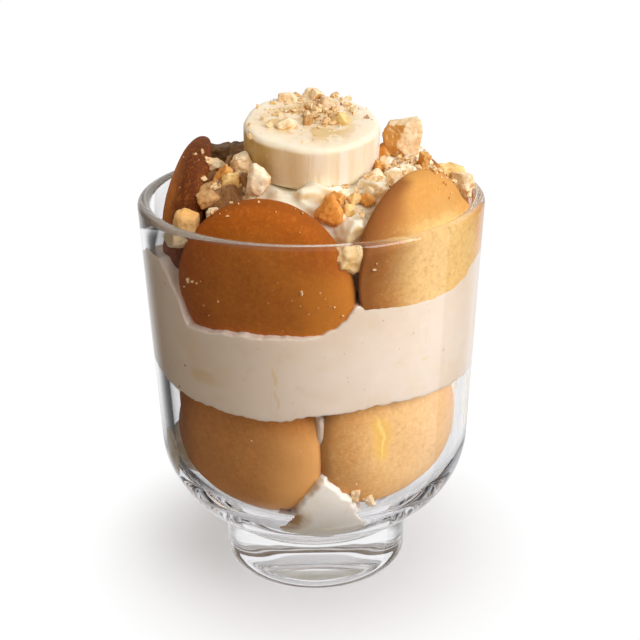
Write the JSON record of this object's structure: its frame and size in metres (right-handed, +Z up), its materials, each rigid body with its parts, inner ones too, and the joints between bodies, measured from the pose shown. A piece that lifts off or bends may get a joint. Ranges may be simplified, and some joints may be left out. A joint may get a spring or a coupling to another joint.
{
  "type": "banana pudding in a footed glass",
  "caption": "Clear footed glass filled with layers of pudding and round vanilla wafers, topped with cream, a banana slice and broken wafer bits.",
  "frame": {"origin": "centre of the foot's underside, on the surface that the glass stands on", "axes": "+Z up along the axis of the glass; -Y is the front, where the picture was taken from; +X is to the right"},
  "size_m": [0.0818, 0.0818, 0.12],
  "materials": {
    "clear_glass": "clear, polished",
    "pudding": "set vanilla pudding, satin",
    "cream": "soft cream, satin",
    "banana": "cut banana flesh, moist",
    "wafer": "baked vanilla wafer",
    "wafer_bits": "broken wafer and nut bits"
  },
  "bodies": {
    "root": {"glass": "clear_glass", "pudding_base": "pudding", "pudding_band": "pudding", "cream_top": "cream", "banana_slice": "banana", "wafer_upper_1": "wafer", "wafer_upper_2": "wafer", "wafer_upper_3": "wafer", "wafer_upper_4": "wafer", "wafer_upper_5": "wafer", "wafer_lower_1": "wafer", "wafer_lower_2": "wafer", "wafer_lower_3": "wafer", "wafer_lower_4": "wafer", "wafer_lower_5": "wafer", "chunk_right": "wafer_bits", "chunk_rim_left": "wafer_bits", "chunk_notch": "wafer_bits", "chunk_orange": "wafer_bits", "chunk_white": "wafer_bits"}
  },
  "joints": []
}
